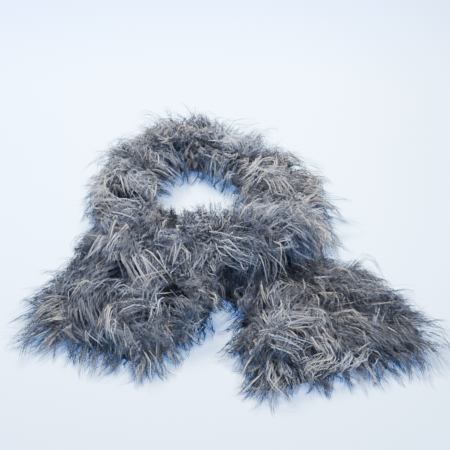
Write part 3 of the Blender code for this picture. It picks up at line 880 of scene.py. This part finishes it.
fringeLook = {
    "locks_tail_left_outer": {
        "stretch": "tail_left", "side": 1, "reach": (0.050, 0.024),
        "sweep": (-44, -20), "rise": 0.5, "tip": 0.15, "wisps": 90, "strands": 760, "depth": 0.05,
    },
    "locks_tail_left_end": {
        "stretch": "tail_left", "side": 0, "reach": (0.052, 0.033), "sweep": (-26, 26),
        "rise": 0.3, "tip": 0.0, "wisps": 70, "strands": 600, "depth": 0.07,
    },
    "locks_tail_left_inner": {
        "stretch": "tail_left", "side": -1, "reach": (0.030, 0.004),
        "sweep": (-44, -8), "rise": 0.3, "tip": 0.0, "wisps": 50, "strands": 400, "depth": 0.05,
    },
    "locks_front_neck": {
        "stretch": "front", "side": 1, "run": (0.25, 0.9), "reach": (0.006, 0.006), "sweep": (-30, 30),
        "rise": 0.2, "tip": 0.6, "levels": (0.35, 0.65), "wisps": 22, "strands": 220,
    },
    "locks_front_low": {
        "stretch": "front", "side": -1, "run": (0.3, 1.0), "reach": (0.006, 0.036), "sweep": (-10, 10),
        "rise": 0.4, "tip": 0.2, "wisps": 60, "strands": 700,
    },
    "locks_side_right_outer": {
        "stretch": "side_right", "side": -1, "reach": (0.052, 0.026),
        "sweep": (-24, 10), "rise": 0.7, "firstTip": 0.0, "tip": 0.6, "wisps": 70, "strands": 860,
    },
    "locks_side_right_neck": {
        "stretch": "side_right", "side": 1, "run": (0.08, 1.0), "reach": (0.014, 0.012),
        "rise": 0.4, "tip": 0.3, "wisps": 24, "strands": 320,
    },
    "locks_back_outer": {
        "stretch": "back", "side": -1, "reach": (0.034, 0.036), "sweep": (-30, 30),
        "rise": 0.7, "tip": 0.9, "wisps": 80, "strands": 420,
    },
    "locks_back_neck": {
        "stretch": "back", "side": 1, "reach": (0.018, 0.018), "sweep": (-24, 24),
        "rise": 0.4, "tip": 0.2, "wisps": 40, "strands": 420,
    },
    "locks_side_left_outer": {
        "stretch": "side_left", "side": -1, "run": (0.0, 0.52), "reach": (0.030, 0.024), "sweep": (0, 18),
        "rise": 0.7, "tip": 0.5, "wisps": 48, "strands": 480,
    },
    "locks_side_left_neck": {
        "stretch": "side_left", "side": 1, "run": (0.0, 0.4), "reach": (0.026, 0.026),
        "rise": 0.6, "tip": 0.6, "levels": (0.3, 0.9), "wisps": 16, "strands": 260,
    },
    "locks_tail_right_outer": {
        "stretch": "tail_right", "side": 1, "run": (0.36, 1.0), "reach": (0.024, 0.052), "sweep": (4, 38),
        "rise": 0.5, "tip": 0.15, "wisps": 84, "strands": 680, "depth": 0.05,
    },
    "locks_tail_right_end": {
        "stretch": "tail_right", "side": 0, "reach": (0.044, 0.018),
        "sweep": (-24, 16), "rise": 0.3, "tip": 0.0, "wisps": 90, "strands": 840, "depth": 0.07,
    },
    "locks_tail_right_inner": {
        "stretch": "tail_right", "side": -1, "run": (0.52, 1.0), "reach": (0.028, 0.038),
        "sweep": (10, 38), "rise": 0.3, "tip": 0.0, "wisps": 70, "strands": 640,
    },
}

fringeStrands = {  # what the rows share, unless a row has its own
    "kind": "wisps",
    "run": (0.0, 1.0),
    "sweep": (0, 0),
    "inset": 0.004,
    "depth": 0.022,  # how much farther in the highest roots lie
    "depthLevel": 0.42,
    "underProbe": 0.010,
    "levels": (0.12, 0.80),
    "levelRange": (0.08, 0.85),
    "wispLength": (0.5, 1.25),
    "wave": 0.0046,
    "crimp": 0.0016,
    "bow": 0.34,
    "dropPower": 1.6,
    "stray": 13,
    "ownStray": 8,
    "ownShare": 0.5,  # of the gap between two wisps
    "ownLevel": 0.10,
    "ownLength": (0.65, 1.05),
    "hold": (0.6, 0.97),
    "holdPower": 0.8,
    "loose": 0.12,
    "tone": 0.10,
    "riseTone": 0.4,
    "midLevel": 0.45,
    "toneVariety": (0.10, 0.24),  # of wisps, and of the strands in one
    "warmthVariety": (0.25, 0.12),
}


def onEdge(row, shares, levels):
    # roots along an edge of the pile, at levels of its height, with the way out and the way along it
    if row["side"] == 0:
        atEnd = 0.0 if row["stretch"] == "tail_left" else 1.0
        line = onPath(row["stretch"], np.full(len(shares), atEnd))
        out = line["along"] * (2.0 * atEnd - 1.0)
        alongEdge = -line["left"]
        edge = line["place"] + line["left"] * (0.5 * line["width"] * (1.0 - 2.0 * shares))[:, None]
    else:
        first, last = row["run"]
        line = onPath(row["stretch"], first + (last - first) * shares)
        out = line["left"] * row["side"]
        alongEdge = line["along"]
        edge = line["place"] + out * (0.5 * line["width"])[:, None]
    out, alongEdge = unit(out), unit(alongEdge)
    inset = row["inset"] + row["depth"] * np.maximum(levels - row["depthLevel"], 0.0)
    places = edge - out * inset[:, None]
    grid = gridOf(row["stretch"])
    isLower = row["stretch"] in scarfPath["under"]
    under = 0.0 if isLower else grid.read(grid.under, places - out * row["underProbe"])
    heights = np.maximum(under + levels * line["height"], pileRoots["lowest"])
    return np.concatenate([places, heights[:, None]], axis=1), out, alongEdge, inset


def reachOut(row, shares, levels, swing, bow, length, along):
    # lines from an edge that rise, bow to one side and come down on what is below
    roots, out, alongEdge, inset = onEdge(row, shares, levels)
    angle = np.radians(between(row["sweep"], shares)) + swing
    ahead = out * np.cos(angle)[:, None] + alongEdge * np.sin(angle)[:, None]
    aside = np.stack([-ahead[:, 1], ahead[:, 0]], axis=1)
    run = (length * between(row["reach"], shares) + inset)[:, None]
    flat = roots[:, :2] + ahead * run * along + aside * bow[:, None] * run * along**2
    tip = between((row.get("firstTip", row["tip"]), row["tip"]), shares)[:, None]
    drop = roots[:, 2:] * (tip - 1.0) * along ** row["dropPower"]
    height = roots[:, 2:] + row["rise"] * run * along * (1.0 - along) + drop
    return np.concatenate([flat, height], axis=2), roots


def makeFringe(node, name, material):
    row = fringeStrands | fringeLook[node]
    kind = strandKinds[row["kind"]]
    stretchLook = pileLook[row["stretch"]]
    wisps, count = row["wisps"], row["strands"]
    steps = strandLook["stepsPerPart"] * (kind["points"] - 1)
    along = np.linspace(0.0, 1.0, steps + 1)[:, None, None]
    wispShares = (np.arange(wisps) + dice.uniform(0.0, 1.0, wisps)) / wisps
    wispLevels = dice.uniform(*row["levels"], wisps)
    wispSwing = dice.normal(0.0, math.radians(row["stray"]), wisps)
    wispBow = dice.normal(0.0, row["bow"], wisps)
    wispLength = dice.uniform(*row["wispLength"], wisps)
    wispWaves = waves(wisps, along, row["wave"], strandVariety["tuft"])
    guides = reachOut(row, wispShares, wispLevels, wispSwing, wispBow, wispLength, along)[0] + wispWaves
    wisp = np.arange(count) % wisps
    shares = np.clip(wispShares[wisp] + dice.normal(0.0, row["ownShare"], count) / wisps, 0.0, 1.0)
    levels = np.clip(wispLevels[wisp] + dice.normal(0.0, row["ownLevel"], count), *row["levelRange"])
    swing = wispSwing[wisp] + dice.normal(0.0, math.radians(row["ownStray"]), count)
    length = wispLength[wisp] * dice.uniform(*row["ownLength"], count)
    lines, roots = reachOut(row, shares, levels, swing, wispBow[wisp], length, along)
    lines += wispWaves[:, wisp] + waves(count, along, row["crimp"], strandVariety["strand"])
    isLoose = dice.random(count) < row["loose"]
    hold = np.where(isLoose, 0.0, dice.uniform(*row["hold"], count)) * (length / wispLength[wisp])
    lines += (guides[:, wisp] - lines) * along ** row["holdPower"] * hold[:, None]
    lines[..., 2] = np.maximum(lines[..., 2], levelUnder(row["stretch"])(lines))
    tone = stretchLook["tone"] + row["tone"] + row["riseTone"] * (levels - row["midLevel"])
    warmth = stretchLook["warmth"]
    shape = {
        key: start + dice.normal(0.0, row[key + "Variety"][0], wisps)[wisp]
        + dice.normal(0.0, row[key + "Variety"][1], count)
        for key, start in (("tone", tone), ("warmth", warmth))
    }
    keptPoints = insideBox(lines[::strandLook["stepsPerPart"]].transpose(1, 0, 2))
    batch = keptPoints, strandTones(roots, shape), strandWidths(count, kind)
    fringe = makeStrands(name, [batch], material)
    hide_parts(node)
    return fringe


# How the strands are coloured, dark at the root and lighter at the tip

furFinish = {
    "tones": (  # cool strands from the darkest to the lightest, then the warm ones
        (0.00, (0.008, 0.011, 0.024)),
        (0.18, (0.014, 0.019, 0.036)),
        (0.30, (0.042, 0.050, 0.078)),
        (0.40, (0.132, 0.152, 0.208)),
        (0.49, (0.440, 0.470, 0.550)),
        (0.51, (0.008, 0.009, 0.014)),
        (0.68, (0.014, 0.015, 0.023)),
        (0.80, (0.056, 0.050, 0.050)),
        (0.90, (0.170, 0.150, 0.128)),
        (1.00, (0.450, 0.415, 0.360)),
    ),
    "rootColour": (0.007, 0.008, 0.013),
    "rootEnd": 0.5,
    "tipColour": (0.42, 0.42, 0.42),
    "tipStart": 0.55,
    "tipShare": 0.10,
    "roughness": 0.45,
    "specular": 0.25,
    "sheen": 0.1,
}


def makeFurMaterial():
    look = furFinish
    material, shader, wire = newMaterial("furGrey", look["roughness"], look["specular"], look["sheen"])
    spot = wire.out(wire.node("ShaderNodeUVMap", {"uv_map": "OFBake"}), "UV")
    parts = wire.node("ShaderNodeSeparateXYZ", None, Vector=spot)
    tone, along = wire.out(parts, "X"), wire.out(parts, "Y")
    colour = wire.out(wire.node("ShaderNodeValToRGB", {"stops": look["tones"]}, Fac=tone), "Color")
    colour = along.step(0.0, look["rootEnd"]).mix((*look["rootColour"], 1.0), colour)
    tips = along.step(look["tipStart"], 1.0) * look["tipShare"]
    colour = tips.mix(colour, (*look["tipColour"], 1.0))
    wire.tree.links.new(colour.socket, shader.inputs["Base Color"])
    return material


# All the pieces

pieceNames = {
    "tail_left": "TailLeft",
    "front": "Front",
    "side_right": "SideRight",
    "back": "Back",
    "side_left": "SideLeft",
    "tail_right": "TailRight",
}

groundMaterial = makeGroundMaterial()
furMaterial = makeFurMaterial()
for stretch, piece in pieceNames.items():
    cloth, girth, length = makeGroundCloth(stretch, "cloth" + piece, groundMaterial)
    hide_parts(stretch)
    grown = [makePile(stretch, "pile" + piece, furMaterial)]
    for node, row in fringeLook.items():
        if row["stretch"] == stretch:
            edgeName = "".join(word.capitalize() for word in node.split("_")[1:])
            grown.append(makeFringe(node, "fringe" + edgeName, furMaterial))
    strandFaces = sum(len(piece.data.polygons) for piece in grown)
    print(f"stage 2: {stretch} made, {len(grown)} pieces of pile and fringe, {strandFaces} faces")


# Table, light and camera

tableTop = {
    "size": 9.0,
    "colour": (0.50, 0.74, 0.98),
    # painted light: the table glows blue, though it is no lamp, so that its shadows read light blue
    "glow": (0.11, 0.30, 0.90),
    "roughness": 0.55,
    "specular": 0.2,
    "paintedFalloffs": {  # painted light: the table darker and bluer or greyer away from its lit middle, a painted falloff of the lamps' pool; axis, where each fade starts and ends, how strong it is and its colour
        "left": (0, -0.05, -0.55, 0.6, (0.28, 0.52, 0.98)),
        "far": (1, 0.36, 0.72, 0.8, (0.16, 0.34, 0.95)),
        "right": (0, 0.05, 0.45, 0.6, (0.16, 0.20, 0.22)),
        "near": (1, 0.10, -0.45, 0.6, (0.14, 0.20, 0.26)),
    },
}
studioLight = {
    "world": (0.42, 0.60, 1.0),
    "worldStrength": 2.2,
    "lamps": {  # place, size, power and colour of each soft lamp, all aimed at the scarf
        "softBox": ((-0.25, 1.25, 1.7), 0.8, 320.0, (1.0, 0.98, 0.94)),
        "overhead": ((0.2, -0.3, 2.2), 1.0, 100.0, (1.0, 0.98, 0.96)),
    },
}
photoView = {"place": (-0.0103, -1.0931, 0.9642), "pitch": 50.0, "fieldOfView": 22.0}


def makeTable():
    bpy.ops.object.select_all(action="DESELECT")
    bpy.ops.mesh.primitive_plane_add(size=tableTop["size"], location=(0, 0, 0))
    table = bpy.context.active_object
    table.name = "tableTop"
    material, shader, wire = newMaterial("tablePaleWithPaintedLight", tableTop["roughness"], tableTop["specular"])
    place = wire.out(wire.node("ShaderNodeTexCoord"), "Object")
    parts = wire.node("ShaderNodeSeparateXYZ", None, Vector=place)
    colour = (*tableTop["colour"], 1.0)
    # painted light: each fade darkens the table's colour towards an edge, standing in for the lamps' light
    # falling off
    for axis, start, end, share, faded in tableTop["paintedFalloffs"].values():
        colour = (wire.out(parts, axis).step(start, end) * share).mix(colour, (*faded, 1.0))
    wire.tree.links.new(colour.socket, shader.inputs["Base Color"])
    # painted light: a blue glow that lightens the table's shadows
    shader.inputs["Emission Color"].default_value = (*tableTop["glow"], 1.0)
    shader.inputs["Emission Strength"].default_value = 1.0
    table.data.materials.append(material)


def makeLight():
    world = bpy.data.worlds.new("studio")
    bpy.context.scene.world = world
    world.use_nodes = True
    sky = world.node_tree.nodes["Background"]
    sky.inputs["Color"].default_value = (*studioLight["world"], 1.0)
    sky.inputs["Strength"].default_value = studioLight["worldStrength"]
    for name, (place, size, power, colour) in studioLight["lamps"].items():
        lamp = bpy.data.lights.new(name, "AREA")
        lamp.shape = "DISK"
        lamp.size = size
        lamp.energy = power
        lamp.color = colour
        holder = bpy.data.objects.new(name, lamp)
        holder.location = place
        holder.rotation_euler = (-Vector(place)).to_track_quat("-Z", "Y").to_euler()
        bpy.context.scene.collection.objects.link(holder)


def makeCamera():
    camera = bpy.data.cameras.new("photoView")
    camera.angle = math.radians(photoView["fieldOfView"])
    holder = bpy.data.objects.new("photoView", camera)
    holder.location = photoView["place"]
    holder.rotation_euler = (math.radians(photoView["pitch"]), 0.0, 0.0)
    bpy.context.scene.collection.objects.link(holder)
    bpy.context.scene.camera = holder


makeTable()
makeLight()
makeCamera()
print("stage 3: table, light and camera set")
